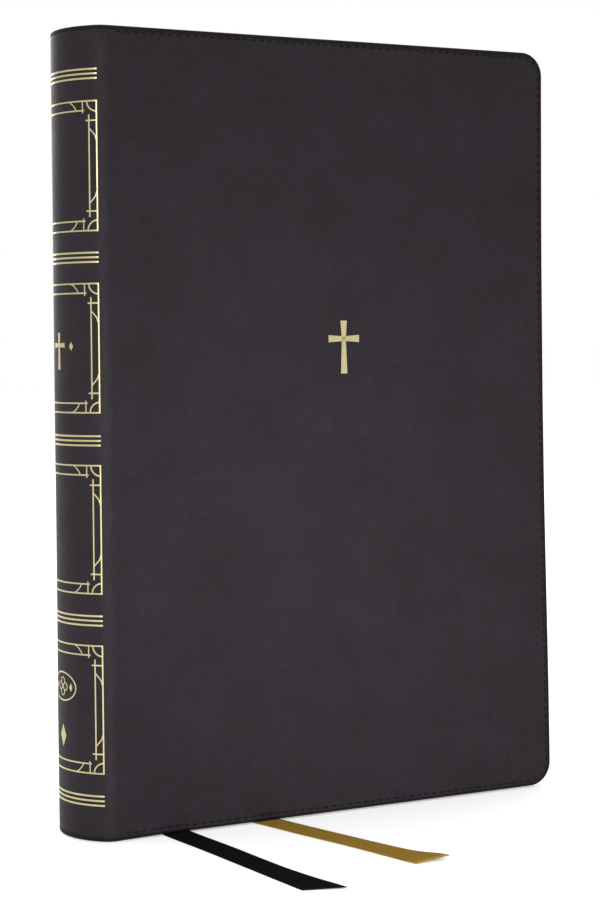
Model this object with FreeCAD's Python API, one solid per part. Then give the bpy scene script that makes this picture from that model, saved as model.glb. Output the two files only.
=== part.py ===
import FreeCAD, Part
import math
import os
from FreeCAD import Vector

# A sewn bible with a flexible leather-look cover, closed and standing on its tail edge.
# Millimetres. +Z is up to the head, +X points to the fore-edge and -Y is the front cover.
# The origin is under the middle of the book, on the surface that it stands on.

os.makedirs("parts", exist_ok=True)

# Book
HEIGHT = 241.0
WIDTH = 165.0
THICKNESS = 32.0
SPINE_X = -WIDTH / 2
FORE_EDGE_X = WIDTH / 2
FRONT_Y = -THICKNESS / 2

# Rounded spine: one wide arc, then a tighter arc at each side that runs into the flat cover
SPINE_RADIUS = 20.0
SHOULDER_RADIUS = 6.2
SPINE_CENTRE_X = SPINE_X + SPINE_RADIUS
SPINE_HALF_ANGLE = math.asin((THICKNESS / 2 - SHOULDER_RADIUS) / (SPINE_RADIUS - SHOULDER_RADIUS))
SHOULDER_X = SPINE_CENTRE_X - (SPINE_RADIUS - SHOULDER_RADIUS) * math.cos(SPINE_HALF_ANGLE)
SHOULDER_Y = FRONT_Y + SHOULDER_RADIUS
HINGE_ANGLE = math.radians(35.0)

# Cover layers
SKIN = 0.8
BOARD = 1.2
TURN_IN = 0.3
TURN_IN_WIDTH = 10.0
PASTEDOWN = 0.25
COVER_CORNER = 7.6
EDGE_ROUNDING = 0.6
BOARD_X = -71.5
FRONT_LIFT = 0.35
INLAY = 0.5
INLAY_HALF_ANGLE = math.radians(40.0)

# Stitching round the head, fore-edge and tail of each cover
STITCH_INSET = 1.8
STITCH_WIDTH = 0.5
STITCH_DEPTH = 0.2
GROOVE_CLEARANCE = 0.05

# How far a cutting or clipping shape reaches past what it cuts
CUT_MARGIN = 1.0
RIBBON_CUTTER = 40.0

# Text block
SQUARE = 3.2
PAGE_WIDTH = 153.4
PAGE_CORNER = 6.2
PAGE_BOTTOM = SQUARE
PAGE_TOP = HEIGHT - SQUARE
SIGNATURES_PER_SIDE = 12
MIDDLE_GAP = 0.35
TEXT_HALF = 13.2
PITCH = (TEXT_HALF - MIDDLE_GAP) / SIGNATURES_PER_SIDE
SIGNATURE = PITCH - 0.1
FOLD_RADIUS = 0.1
FOLD_TAPER = 9.0
BACK_X = -75.4
BACK_RADIUS = 62.9
BACK_CENTRE_X = BACK_X + BACK_RADIUS
FLYLEAF = 0.2
FLYLEAF_Y = 13.45
FLYLEAF_BACK_STEP = 0.4

# Linings on the back of the text block, measured outwards from the folds
THREAD_FROM = 0.15
MULL_FROM = 0.45
LINING_FROM = 0.75
HOLLOW_FROM = 1.05
HOLLOW_WALL = 0.2
HOLLOW_HALF = 10.7
HOLLOW_MARGIN = 11.0
LINING_MARGIN = 6.0
LINING_HALF = 13.0
STATIONS = 6
STATION_FIRST = 24.0
THREAD_HEIGHT = 0.8
THREAD_HALF = 12.7

# Headband and tailband
BAND_HEIGHT = 1.6
BAND_INWARD = 0.85
BAND_CLEARANCE = 0.12
BAND_HALF = 12.9

# Marker ribbons
RIBBON_WIDTH = 9.0
RIBBON = 0.2
RIBBON_TOP = 236.8
RIBBON_BOTTOM = 2.95
BLACK_EXIT_X = -52.9
GOLD_EXIT_X = -24.6
RUN_OFFSET = 0.13
RUN_BACK_CLEARANCE = 0.05
BLACK_ROUTE = [
    (-52.9, -0.13, 2.9),
    (-52.9, -5.4, 1.45),
    (-52.7, -12.2, 0.1),
    (-52.2, -23.0, 0.1),
    (-51.0, -40.0, 0.1),
    (-50.3, -60.0, 0.1),
    (-49.2, -80.0, 0.1),
    (-47.3, -98.9, 0.1),
]
GOLD_ROUTE = [
    (-24.6, 0.13, 2.9),
    (-23.9, -5.2, 1.45),
    (-22.6, -12.0, 0.1),
    (-20.4, -22.0, 0.1),
    (-17.2, -37.0, 0.1),
    (-13.4, -53.0, 0.1),
    (-9.9, -69.0, 0.1),
    (-6.0, -86.6, 0.1),
]
BLACK_CUT = math.radians(-20.0)
GOLD_CUT = math.radians(2.5)


def export(name, shape):
    """Write one sub-part."""
    shape.exportStep("parts/" + name + ".step")


def back_of(shape):
    """The same piece on the back cover's side."""
    return shape.mirror(Vector(0, 0, 0), Vector(0, 1, 0))


def arc(centre, radius, start, end):
    """Arc in the XY plane about centre, between two angles in radians."""
    points = [
        Vector(centre[0] + radius * math.cos(a), centre[1] + radius * math.sin(a), 0)
        for a in (start, (start + end) / 2, end)
    ]
    return Part.Arc(*points).toShape()


def line(a, b):
    """Straight edge between two points."""
    return Part.LineSegment(Vector(*a), Vector(*b)).toShape()


def end_of(edge, last):
    """First or last point of an edge in its own direction."""
    point = edge.valueAt(edge.LastParameter if last else edge.FirstParameter)
    return (point.x, point.y, point.z)


def band_between(outer, inner, bottom, top):
    """Solid between two chains of edges that run the same way, from bottom to top."""
    closing = [
        line(end_of(outer[-1], True), end_of(inner[-1], True)),
        line(end_of(outer[0], False), end_of(inner[0], False)),
    ]
    wire = Part.Wire(Part.__sortEdges__(outer + inner + closing))
    solid = Part.Face(wire).extrude(Vector(0, 0, top - bottom))
    solid.translate(Vector(0, 0, bottom))
    return solid


def plate(x0, x1, z0, z1, corner, y0, y1):
    """Flat plate between y0 and y1, square at the spine and with rounded fore-edge corners."""
    turn = corner * (1 - math.sqrt(0.5))
    head = Part.Arc(
        Vector(x1 - corner, y0, z1), Vector(x1 - turn, y0, z1 - turn), Vector(x1, y0, z1 - corner)
    )
    tail = Part.Arc(
        Vector(x1, y0, z0 + corner), Vector(x1 - turn, y0, z0 + turn), Vector(x1 - corner, y0, z0)
    )
    edges = [
        line((x0, y0, z1), (x1 - corner, y0, z1)),
        head.toShape(),
        line((x1, y0, z1 - corner), (x1, y0, z0 + corner)),
        tail.toShape(),
        line((x1 - corner, y0, z0), (x0, y0, z0)),
        line((x0, y0, z0), (x0, y0, z1)),
    ]
    return Part.Face(Part.Wire(edges)).extrude(Vector(0, y1 - y0, 0))


def inset_plate(inset, x0, bottom, y0, y1):
    """Plate whose head, fore-edge and tail lie inset from those of the cover."""
    corner = max(COVER_CORNER - inset, 1.0)
    return plate(x0, FORE_EDGE_X - inset, bottom + inset, HEIGHT - inset, corner, y0, y1)


def shoulder_arc(radius, start, end):
    """Arc of the front shoulder; angle 0 is where it meets the flat cover."""
    return arc((SHOULDER_X, SHOULDER_Y), radius, -math.pi / 2 - start, -math.pi / 2 - end)


# Cover pieces, made for the front and mirrored for the back


def stitch_ring(bottom, width, depth):
    """Flat U-shaped ring along the head, fore-edge and tail, sunk in the outer face."""
    outer = inset_plate(STITCH_INSET - width / 2, BOARD_X, bottom, FRONT_Y, FRONT_Y + depth)
    core_start = BOARD_X - CUT_MARGIN
    core_outer = FRONT_Y - CUT_MARGIN
    core_inner = FRONT_Y + depth + CUT_MARGIN
    return outer.cut(inset_plate(STITCH_INSET + width / 2, core_start, bottom, core_outer, core_inner))


def rounded_flat(bottom):
    """Flat part of the cover as a full block, with its outer perimeter edges rounded."""
    inside = FRONT_Y + SKIN + BOARD + TURN_IN
    block = plate(SHOULDER_X, FORE_EDGE_X, bottom, HEIGHT, COVER_CORNER, FRONT_Y, inside)
    rim = []
    for edge in block.Edges:
        box = edge.BoundBox
        at_hinge = box.XMax < SHOULDER_X + 0.01
        if box.YMax < FRONT_Y + 0.01 and not at_hinge:
            rim.append(edge)
    return block.makeFillet(EDGE_ROUNDING, rim)


def cover_skin(bottom):
    """Leather-look skin: outer sheet, edge walls, turned-in margin and the curved lip to the hinge."""
    board_face = FRONT_Y + SKIN
    inner_face = board_face + BOARD
    flat = rounded_flat(bottom)
    cut_from = SHOULDER_X - CUT_MARGIN
    flat = flat.cut(inset_plate(SKIN, cut_from, bottom, board_face, inner_face))
    window_top = inner_face + TURN_IN + CUT_MARGIN
    flat = flat.cut(inset_plate(TURN_IN_WIDTH, cut_from, bottom, inner_face, window_top))
    beside_board = Vector(SHOULDER_X, board_face, 0)
    flat = flat.cut(Part.makeBox(BOARD_X - SHOULDER_X, BOARD + TURN_IN, HEIGHT, beside_board))
    outer = [shoulder_arc(SHOULDER_RADIUS, 0, HINGE_ANGLE)]
    inner = [shoulder_arc(SHOULDER_RADIUS - SKIN, 0, HINGE_ANGLE)]
    lip = band_between(outer, inner, bottom, HEIGHT)
    groove = stitch_ring(bottom, STITCH_WIDTH + 2 * GROOVE_CLEARANCE, STITCH_DEPTH + GROOVE_CLEARANCE)
    return flat.fuse(lip).removeSplitter().cut(groove)


def cover_stitching(bottom):
    """Sewing thread laid in its groove, just below the surface of the skin."""
    ring = stitch_ring(bottom, STITCH_WIDTH, STITCH_DEPTH)
    ring.translate(Vector(0, GROOVE_CLEARANCE, 0))
    return ring


def cover_board(bottom):
    """Flexible board inside the skin."""
    return inset_plate(SKIN, BOARD_X, bottom, FRONT_Y + SKIN, FRONT_Y + SKIN + BOARD)


def pastedown(bottom):
    """Endpaper glued to the inside of the board, within the turned-in margin."""
    face = FRONT_Y + SKIN + BOARD
    return inset_plate(TURN_IN_WIDTH, BOARD_X, bottom, face, face + PASTEDOWN)


# Spine pieces


def spine_chain(depth):
    """Outline of the spine from the front hinge to the back hinge, depth inside the outer face."""
    shoulder = SHOULDER_RADIUS - depth
    turn = math.pi / 2 - SPINE_HALF_ANGLE
    front = shoulder_arc(shoulder, HINGE_ANGLE, turn)
    middle = arc(
        (SPINE_CENTRE_X, 0), SPINE_RADIUS - depth, math.pi + SPINE_HALF_ANGLE, math.pi - SPINE_HALF_ANGLE
    )
    back = arc((SHOULDER_X, -SHOULDER_Y), shoulder, math.pi / 2 + turn, math.pi / 2 + HINGE_ANGLE)
    return [front, middle, back]


def spine_sector(depth, thickness, bottom, top):
    """Curved sheet behind the round part of the spine, as wide as the inlay."""
    outer = SPINE_RADIUS - depth
    angles = (math.pi + INLAY_HALF_ANGLE, math.pi - INLAY_HALF_ANGLE)
    edges = [arc((SPINE_CENTRE_X, 0), radius, *angles) for radius in (outer, outer - thickness)]
    return band_between(edges[:1], edges[1:], bottom, top)


def spine_skin():
    """Skin over the spine, with its head and tail turned in over the inlay."""
    skin = band_between(spine_chain(0), spine_chain(SKIN), 0, HEIGHT)
    for bottom, end in ((0, 0), (HEIGHT - SKIN, HEIGHT - TURN_IN_WIDTH)):
        cap = spine_sector(SKIN, INLAY + TURN_IN, bottom, bottom + SKIN)
        turned = spine_sector(SKIN + INLAY, TURN_IN, end, end + TURN_IN_WIDTH)
        skin = skin.fuse(cap).fuse(turned)
    return skin.removeSplitter()


# Text block pieces


def fold_x(y):
    """Where the folds lie on the slightly rounded back of the text block."""
    return BACK_CENTRE_X - math.sqrt(BACK_RADIUS**2 - y**2)


def leaf(y, x, thickness, taper):
    """A folded leaf or signature: rounded thin fold, taper to its full thickness, rounded corners."""
    half = thickness / 2
    nose = Part.Arc(
        Vector(0, FOLD_RADIUS, 0), Vector(-FOLD_RADIUS, 0, 0), Vector(0, -FOLD_RADIUS, 0)
    )
    corners = [
        (0, -FOLD_RADIUS, 0),
        (taper, -half, 0),
        (PAGE_WIDTH, -half, 0),
        (PAGE_WIDTH, half, 0),
        (taper, half, 0),
        (0, FOLD_RADIUS, 0),
    ]
    edges = [nose.toShape()] + [line(a, b) for a, b in zip(corners, corners[1:])]
    slab = Part.Face(Part.Wire(edges)).extrude(Vector(0, 0, PAGE_TOP - PAGE_BOTTOM))
    slab.translate(Vector(x, y, PAGE_BOTTOM))
    sides = (y - CUT_MARGIN, y + CUT_MARGIN)
    outline = plate(x - CUT_MARGIN, x + PAGE_WIDTH, PAGE_BOTTOM, PAGE_TOP, PAGE_CORNER, *sides)
    return slab.common(outline)


def back_sheet(start, thickness, half_width, bottom, top):
    """Curved sheet on the back of the text block, start outside the line of the folds."""
    edges = []
    for radius in (BACK_RADIUS + start + thickness, BACK_RADIUS + start):
        angle = math.asin(half_width / radius)
        edges.append(arc((BACK_CENTRE_X, 0), radius, math.pi + angle, math.pi - angle))
    return band_between(edges[:1], edges[1:], bottom, top)


def sewing_thread():
    """Chain stitches across the back at each sewing station, one solid a station."""
    step = (HEIGHT - 2 * STATION_FIRST) / (STATIONS - 1)
    rows = []
    for i in range(STATIONS):
        z = STATION_FIRST + i * step - THREAD_HEIGHT / 2
        rows.append(back_sheet(THREAD_FROM, MULL_FROM - THREAD_FROM, THREAD_HALF, z, z + THREAD_HEIGHT))
    return Part.makeCompound(rows)


def hollow_tube():
    """Paper tube between the lining and the spine inlay, glued to both."""
    outline = []
    for wall in (0, HOLLOW_WALL):
        half = HOLLOW_HALF - wall
        far_radius = SPINE_RADIUS - SKIN - INLAY - wall
        near_radius = BACK_RADIUS + HOLLOW_FROM + wall
        far = math.asin(half / far_radius)
        near = math.asin(half / near_radius)
        far_arc = arc((SPINE_CENTRE_X, 0), far_radius, math.pi + far, math.pi - far)
        near_arc = arc((BACK_CENTRE_X, 0), near_radius, math.pi + near, math.pi - near)
        outline.append(band_between([far_arc], [near_arc], HOLLOW_MARGIN, HEIGHT - HOLLOW_MARGIN))
    return outline[0].cut(outline[1])


def headband():
    """Woven band over the head of the folds, with a skirt glued to the back."""
    bead_from = PAGE_TOP + BAND_CLEARANCE
    depth = LINING_FROM + BAND_INWARD
    bead = back_sheet(-BAND_INWARD, depth, BAND_HALF, bead_from, bead_from + BAND_HEIGHT)
    skirt = back_sheet(MULL_FROM, LINING_FROM - MULL_FROM, BAND_HALF, HEIGHT - LINING_MARGIN, bead_from)
    return bead.fuse(skirt).removeSplitter()


# Ribbons


def ribbon_run(exit_x, y):
    """Ribbon between the two middle signatures, from the back at the head to the tail edge."""
    left_top = fold_x(0) - MULL_FROM + RUN_BACK_CLEARANCE
    half = RIBBON_WIDTH / 2
    corners = [
        (left_top, y, RIBBON_TOP),
        (left_top + RIBBON_WIDTH, y, RIBBON_TOP),
        (exit_x + half, y, RIBBON_BOTTOM),
        (exit_x - half, y, RIBBON_BOTTOM),
    ]
    edges = [line(a, b) for a, b in zip(corners, corners[1:] + corners[:1])]
    strip = Part.Face(Part.Wire(edges)).extrude(Vector(0, RIBBON, 0))
    strip.translate(Vector(0, -RIBBON / 2, 0))
    return strip


def rounded_path(points):
    """Straight runs joined by tangent arcs, each as large as its two runs allow."""
    points = [Vector(*p) for p in points]
    edges = []
    radii = []
    start = points[0]
    for before, corner, after in zip(points, points[1:], points[2:]):
        into = (before - corner).normalize()
        onward = (after - corner).normalize()
        half_turn = (math.pi - into.getAngle(onward)) / 2
        reach = 0.45 * min((before - corner).Length, (after - corner).Length)
        radius = reach / math.tan(half_turn)
        middle = (into + onward).normalize()
        inset = radius / math.cos(half_turn) - radius
        first = corner + into * reach
        last = corner + onward * reach
        edges.append(Part.LineSegment(start, first).toShape())
        edges.append(Part.Arc(first, corner + middle * inset, last).toShape())
        radii.append(round(radius, 1))
        start = last
    edges.append(Part.LineSegment(start, points[-1]).toShape())
    print("ribbon radii", radii)
    return Part.Wire(edges)


def ribbon_tail(route, cut):
    """Flat ribbon along the route on the floor, with its end cut at an angle to the X axis."""
    path = rounded_path(route)
    start, along = Vector(*route[0]), Vector(*route[1]) - Vector(*route[0])
    side = along.cross(Vector(0, 0, 1)).normalize()
    up = Vector(0, 0, 1)
    corners = [
        start + side * (sx * RIBBON_WIDTH / 2) + up * (sz * RIBBON / 2)
        for sx, sz in ((-1, -1), (1, -1), (1, 1), (-1, 1), (-1, -1))
    ]
    sweep = Part.BRepOffsetAPI.MakePipeShell(path)
    sweep.setBiNormalMode(up)
    sweep.add(Part.makePolygon(corners))
    sweep.build()
    sweep.makeSolid()
    end = Vector(*route[-1])
    heading = end - Vector(*route[-2])
    slant = math.atan2(heading.x, -heading.y) - cut
    low_corner = Vector(-RIBBON_CUTTER / 2, -RIBBON_CUTTER, -CUT_MARGIN)
    cutter = Part.makeBox(RIBBON_CUTTER, RIBBON_CUTTER, 2 * CUT_MARGIN, low_corner)
    cutter.rotate(Vector(0, 0, 0), Vector(0, 0, 1), math.degrees(cut))
    cutter.translate(end + Vector(0, RIBBON_WIDTH / 2 * math.tan(slant), 0))
    trimmed = sweep.shape().cut(cutter)
    expected = path.Length * RIBBON_WIDTH * RIBBON
    print("ribbon tail volume", round(trimmed.Volume, 1), "of", round(expected, 1))
    return trimmed


def build_cover():
    """Both covers, layer by layer."""
    makers = {
        "skin": cover_skin,
        "stitching": cover_stitching,
        "board": cover_board,
    }
    for name, maker in makers.items():
        export("front_cover_" + name, maker(FRONT_LIFT))
        export("back_cover_" + name, back_of(maker(0)))
    export("front_pastedown", pastedown(FRONT_LIFT))
    export("back_pastedown", back_of(pastedown(0)))


def build_spine():
    """Spine skin, its inlay and the paper tube behind it."""
    export("spine_skin", spine_skin())
    export("spine_inlay", spine_sector(SKIN, INLAY, SKIN, HEIGHT - SKIN))
    export("hollow_tube", hollow_tube())


def build_text_block():
    """Flyleaves, signatures, sewing, linings and bands."""
    for number in range(SIGNATURES_PER_SIDE):
        y = -(MIDDLE_GAP + PITCH * (SIGNATURES_PER_SIDE - number - 0.5))
        front = leaf(y, fold_x(y), SIGNATURE, FOLD_TAPER)
        last = 2 * SIGNATURES_PER_SIDE
        export("signature_%02d" % (number + 1), front)
        export("signature_%02d" % (last - number), back_of(front))
    flyleaf = leaf(-FLYLEAF_Y, fold_x(FLYLEAF_Y) - FLYLEAF_BACK_STEP, FLYLEAF, FOLD_TAPER)
    export("front_flyleaf", flyleaf)
    export("back_flyleaf", back_of(flyleaf))
    export("sewing_thread", sewing_thread())
    low, high = LINING_MARGIN, HEIGHT - LINING_MARGIN
    export("mull", back_sheet(MULL_FROM, LINING_FROM - MULL_FROM, LINING_HALF, low, high))
    export("spine_lining", back_sheet(LINING_FROM, HOLLOW_FROM - LINING_FROM, LINING_HALF, low, high))
    band = headband()
    export("headband", band)
    export("tailband", band.mirror(Vector(0, 0, HEIGHT / 2), Vector(0, 0, 1)))


def build_ribbons():
    """Two marker ribbons: the run inside the book and the free tail of each."""
    export("black_ribbon_run", ribbon_run(BLACK_EXIT_X, -RUN_OFFSET))
    export("gold_ribbon_run", ribbon_run(GOLD_EXIT_X, RUN_OFFSET))
    export("black_ribbon_tail", ribbon_tail(BLACK_ROUTE, BLACK_CUT))
    export("gold_ribbon_tail", ribbon_tail(GOLD_ROUTE, GOLD_CUT))


build_cover()
build_spine()
build_text_block()
build_ribbons()
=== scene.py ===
import math

import bmesh
import bpy
from mathutils import Matrix, Vector, noise


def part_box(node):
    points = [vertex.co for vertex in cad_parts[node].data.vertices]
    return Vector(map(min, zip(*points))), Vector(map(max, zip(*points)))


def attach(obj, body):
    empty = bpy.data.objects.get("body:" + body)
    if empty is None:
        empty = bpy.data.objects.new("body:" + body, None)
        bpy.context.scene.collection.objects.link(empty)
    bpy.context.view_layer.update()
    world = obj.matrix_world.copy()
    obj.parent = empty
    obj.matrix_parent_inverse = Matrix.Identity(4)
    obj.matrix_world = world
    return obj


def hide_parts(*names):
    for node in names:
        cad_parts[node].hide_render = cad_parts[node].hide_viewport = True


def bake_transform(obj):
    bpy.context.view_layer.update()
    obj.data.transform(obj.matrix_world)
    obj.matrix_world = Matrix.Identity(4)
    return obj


# A bible with a flexible leather cover, closed and standing on its tail edge.
# Lengths are in millimetres in this script's own sums and are turned into metres when a mesh is made.
# +Z is up to the head, +X points to the fore-edge and -Y is the front cover.

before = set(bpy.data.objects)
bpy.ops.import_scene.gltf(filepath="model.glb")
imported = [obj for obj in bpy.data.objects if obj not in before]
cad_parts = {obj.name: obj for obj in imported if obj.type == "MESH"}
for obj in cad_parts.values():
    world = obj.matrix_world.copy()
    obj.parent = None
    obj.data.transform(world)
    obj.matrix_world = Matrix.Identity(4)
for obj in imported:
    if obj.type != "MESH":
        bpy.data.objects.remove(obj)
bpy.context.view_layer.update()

MM = 0.001


def box(node):
    """Lowest and highest corner of a CAD node, in millimetres."""
    low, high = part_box(node)
    return low / MM, high / MM


# Sizes read from the frame
SKIN_LOW, SKIN_HIGH = box("front_cover_skin")
SPINE_LOW, SPINE_HIGH = box("spine_skin")
BOARD_LOW, _ = box("front_cover_board")
_, BAND_HIGH = box("headband")
SPINE_X = SPINE_LOW.x
HEIGHT = SPINE_HIGH.z
FORE_EDGE_X = SKIN_HIGH.x
FRONT_Y = SKIN_LOW.y
FRONT_LIFT = SKIN_LOW.z
BOARD_X = BOARD_LOW.x

# Outline of the spine: one wide arc, then a tighter arc at each side that runs into the flat cover
SPINE_RADIUS = 20.0
SHOULDER_RADIUS = 6.2
SPINE_CENTRE_X = SPINE_X + SPINE_RADIUS
SPINE_TURN = math.asin((-FRONT_Y - SHOULDER_RADIUS) / (SPINE_RADIUS - SHOULDER_RADIUS))
SHOULDER_X = SPINE_CENTRE_X - (SPINE_RADIUS - SHOULDER_RADIUS) * math.cos(SPINE_TURN)
SHOULDER_Y = FRONT_Y + SHOULDER_RADIUS
SPINE_ARC = SPINE_RADIUS * SPINE_TURN
SHOULDER_ARC = SHOULDER_RADIUS * (math.pi / 2 - SPINE_TURN)
FLAT_FROM = SPINE_ARC + SHOULDER_ARC
FLAT_TO = FLAT_FROM + FORE_EDGE_X - SHOULDER_X
HINGE_TURN = math.radians(55.0)
HINGE_S = SPINE_ARC + SHOULDER_RADIUS * (HINGE_TURN - SPINE_TURN)
HINGE_BEND = 3.4

# Cover layers and edges
SKIN = 0.8
TURN_IN = 0.3
TURN_IN_WIDTH = 10.0
COVER_CORNER = 7.6
OUTER_ROUNDING = 0.9
INNER_ROUNDING = 0.5
FLAT_THICKNESS = 2.3
HINGE_THICKNESS = 1.45
SPINE_THICKNESS = 1.6
BOW_HEAD = 0.75
BOW_TAIL = 1.4
STITCH_INSET = 1.8
STITCH_PITCH = 2.8
STITCH_RADIUS = 0.24
STITCH_GROOVE = ((0.4, 0.02), (0.18, 0.10), (0.0, 0.15), (-0.18, 0.10), (-0.4, 0.01))
FACE_INSET = 3.6

# Text block
PAGE_WIDTH = 153.4
PAGE_CORNER = 6.2
PAGE_BOTTOM = 3.2
SIGNATURES_PER_SIDE = 12
MIDDLE_GAP = 0.35
PITCH = 1.0708
LEAF_GAP = 0.03
LEAF_BEND = 26.0
BACK_RADIUS = 62.9
BACK_CENTRE_X = -12.5
FLYLEAF = 0.2
FLYLEAF_BEND = 10.0

# Ribbons
RIBBON_WIDTH = 9.0
RIBBON = 0.2
BLACK_LENGTH = 0.099
GOLD_LENGTH = 0.089
BLACK_ROUTE = [
    (-52.9, -0.13, 2.9), (-52.9, -5.4, 1.45), (-52.7, -12.2, 0.1), (-52.2, -23.0, 0.1),
    (-51.0, -40.0, 0.1), (-50.3, -60.0, 0.1), (-49.2, -80.0, 0.1), (-47.3, -98.9, 0.1),
]
GOLD_ROUTE = [
    (-24.6, 0.13, 2.9), (-23.9, -5.2, 1.45), (-22.6, -12.0, 0.1), (-20.4, -22.0, 0.1),
    (-17.2, -37.0, 0.1), (-13.4, -53.0, 0.1), (-9.9, -69.0, 0.1), (-6.0, -86.6, 0.1),
]


# Materials


class Paint:
    """A material being built: a Principled shader and short calls that add the nodes before it."""

    def __init__(self, name, **values):
        self.material = bpy.data.materials.new(name)
        self.material.use_nodes = True
        self.tree = self.material.node_tree
        self.shader = self.tree.nodes["Principled BSDF"]
        for socket, value in values.items():
            self.shader.inputs[socket.replace("_", " ")].default_value = value

    def node(self, kind, inputs=None, **settings):
        """A new node, with its settings and its inputs set or linked."""
        made = self.tree.nodes.new("ShaderNode" + kind)
        for key, value in settings.items():
            setattr(made, key, value)
        for key, value in (inputs or {}).items():
            self.feed(made.inputs[key], value)
        return made

    def feed(self, socket, value):
        """Link a socket to another node's output, or set its value."""
        if isinstance(value, bpy.types.NodeSocket):
            self.tree.links.new(value, socket)
        else:
            socket.default_value = value

    def place(self, stretch=(1, 1, 1)):
        """Where the surface was laid out, in millimetres, so that patterns stay fixed to the surface."""
        laid = self.node("Attribute", attribute_name="place").outputs["Vector"]
        return self.node("Mapping", {"Vector": laid, "Scale": stretch}).outputs["Vector"]

    def solid_place(self):
        """Place on a rigid CAD piece, in millimetres."""
        found = self.node("TexCoord").outputs["Object"]
        return self.node("Mapping", {"Vector": found, "Scale": [1 / MM] * 3}).outputs["Vector"]

    def noise(self, vector, scale, detail=2.0, roughness=0.5):
        """Noise from 0 to 1, scale in features a millimetre."""
        inputs = {"Vector": vector, "Scale": scale, "Detail": detail, "Roughness": roughness}
        return self.node("TexNoise", inputs).outputs[0]

    def cells(self, vector, scale):
        """Distance to the edges of irregular cells."""
        inputs = {"Vector": vector, "Scale": scale}
        return self.node("TexVoronoi", inputs, feature="DISTANCE_TO_EDGE").outputs["Distance"]

    def math(self, operation, first, second=0.0, third=0.0):
        """One sum on numbers."""
        made = self.node("Math", operation=operation)
        for socket, value in zip(made.inputs, (first, second, third)):
            self.feed(socket, value)
        return made.outputs[0]

    def split(self, vector):
        """X, Y and Z of a vector."""
        return self.node("SeparateXYZ", {"Vector": vector}).outputs

    def ramp(self, factor, low, high, to_low=0.0, to_high=1.0):
        """Map low…high to to_low…to_high, smoothly and clamped."""
        inputs = {"Value": factor, "From Min": low, "From Max": high, "To Min": to_low, "To Max": to_high}
        return self.node("MapRange", inputs, interpolation_type="SMOOTHSTEP").outputs["Result"]

    def blend(self, factor, first, second):
        """Colour between two colours."""
        made = self.node("Mix", data_type="RGBA")
        self.feed(made.inputs["Factor"], factor)
        self.feed(made.inputs["A"], rgba(first))
        self.feed(made.inputs["B"], rgba(second))
        return made.outputs["Result"]

    def colour(self, value):
        """Base colour."""
        self.feed(self.shader.inputs["Base Color"], rgba(value))

    def rough(self, value):
        """Roughness."""
        self.feed(self.shader.inputs["Roughness"], value)

    def bump(self, *layers):
        """Bumps on the surface, each a height pattern and its depth in millimetres."""
        normal = None
        for height, depth in layers:
            made = self.node("Bump", {"Height": height, "Distance": depth * MM, "Strength": 1.0})
            if normal is not None:
                self.feed(made.inputs["Normal"], normal)
            normal = made.outputs["Normal"]
        self.feed(self.shader.inputs["Normal"], normal)


def rgba(value):
    """A colour of three numbers with its alpha, or a linked socket as it is."""
    if isinstance(value, bpy.types.NodeSocket) or len(value) == 4:
        return value
    return (*value, 1.0)


def painted_rim_shade(paint, place):
    """Mask of painted shade: 1 on the rounded edge and on the border outside the stitching, 0 on the face and
    the turn-in.
    """
    along, up, depth = paint.split(place)
    squares = []
    for way, half in ((along, FLAT_TO), (paint.math("SUBTRACT", up, HEIGHT / 2), HEIGHT / 2)):
        beyond = paint.math("SUBTRACT", paint.math("ABSOLUTE", way), half - COVER_CORNER)
        squares.append(paint.math("POWER", paint.math("MAXIMUM", beyond, 0.0), 2.0))
    from_edge = paint.math("SUBTRACT", COVER_CORNER, paint.math("POWER", paint.math("ADD", *squares), 0.5))
    border = paint.ramp(from_edge, 1.2, 1.7, 0.85, 0.0)
    rounded = paint.ramp(depth, 0.1, 0.7)
    outside = paint.ramp(depth, 1.5, 2.1, 1.0, 0.0)
    return paint.math("MULTIPLY", paint.math("MAXIMUM", border, rounded), outside)


def leather():
    """Black bonded leather: fine pebbled grain, soft mottling, slightly polished high spots."""
    paint = Paint("cover_leather", Specular_IOR_Level=0.12)
    place = paint.place()
    wander = paint.node("TexNoise", {"Vector": place, "Scale": 0.7, "Detail": 2.0}).outputs["Color"]
    moved = paint.node("Mix", {"Factor": 0.35}, data_type="VECTOR")
    paint.feed(moved.inputs["A"], place)
    paint.feed(moved.inputs["B"], wander)
    grain = paint.ramp(paint.cells(moved.outputs["Result"], 2.6), 0.0, 0.22)
    pores = paint.noise(place, 5.0, 3.0, 0.6)
    pebble = paint.noise(place, 0.9, 4.0, 0.6)
    mottle = paint.noise(place, 0.045, 5.0, 0.62)
    fine_mottle = paint.noise(place, 0.4, 3.0)
    tone = paint.math("ADD", paint.math("MULTIPLY", mottle, 0.7), paint.math("MULTIPLY", fine_mottle, 0.3))
    mottle_and_dent_shade = paint.blend(paint.ramp(tone, 0.36, 0.66), (0.0110, 0.0079, 0.0107), (0.0176, 0.0127, 0.0173))
    # Painted shade: darker blotches stand for the shade inside dents, though the surface has no dents in its
    # shape.
    painted_dent_shade = paint.math("MULTIPLY", paint.ramp(paint.noise(place, 0.3, 2.0), 0.66, 0.76), 0.45)
    mottle_and_dent_shade = paint.blend(painted_dent_shade, mottle_and_dent_shade, (0.0060, 0.0046, 0.0058))
    # Painted shade: the colour is darker near the edges of the grain's cells, in the creases between the
    # pebbles, on top of the grain's bump.
    skin = paint.blend(paint.ramp(grain, 0.0, 1.0), (0.0077, 0.0056, 0.0074), mottle_and_dent_shade)
    # Painted shade: the rounded edge and the border outside the stitching are coloured near black, where the
    # edge turns away from the light, and are made rougher.
    rim = painted_rim_shade(paint, place)
    paint.colour(paint.blend(rim, skin, (0.0024, 0.0018, 0.0023)))
    gloss = paint.ramp(paint.math("ADD", tone, paint.math("MULTIPLY", pebble, 0.3)), 0.4, 1.0, 0.60, 0.50)
    paint.rough(paint.math("MAXIMUM", gloss, paint.math("MULTIPLY", rim, 0.85)))
    paint.bump((pebble, 0.03), (grain, 0.022), (pores, 0.012))
    return paint.material


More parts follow.
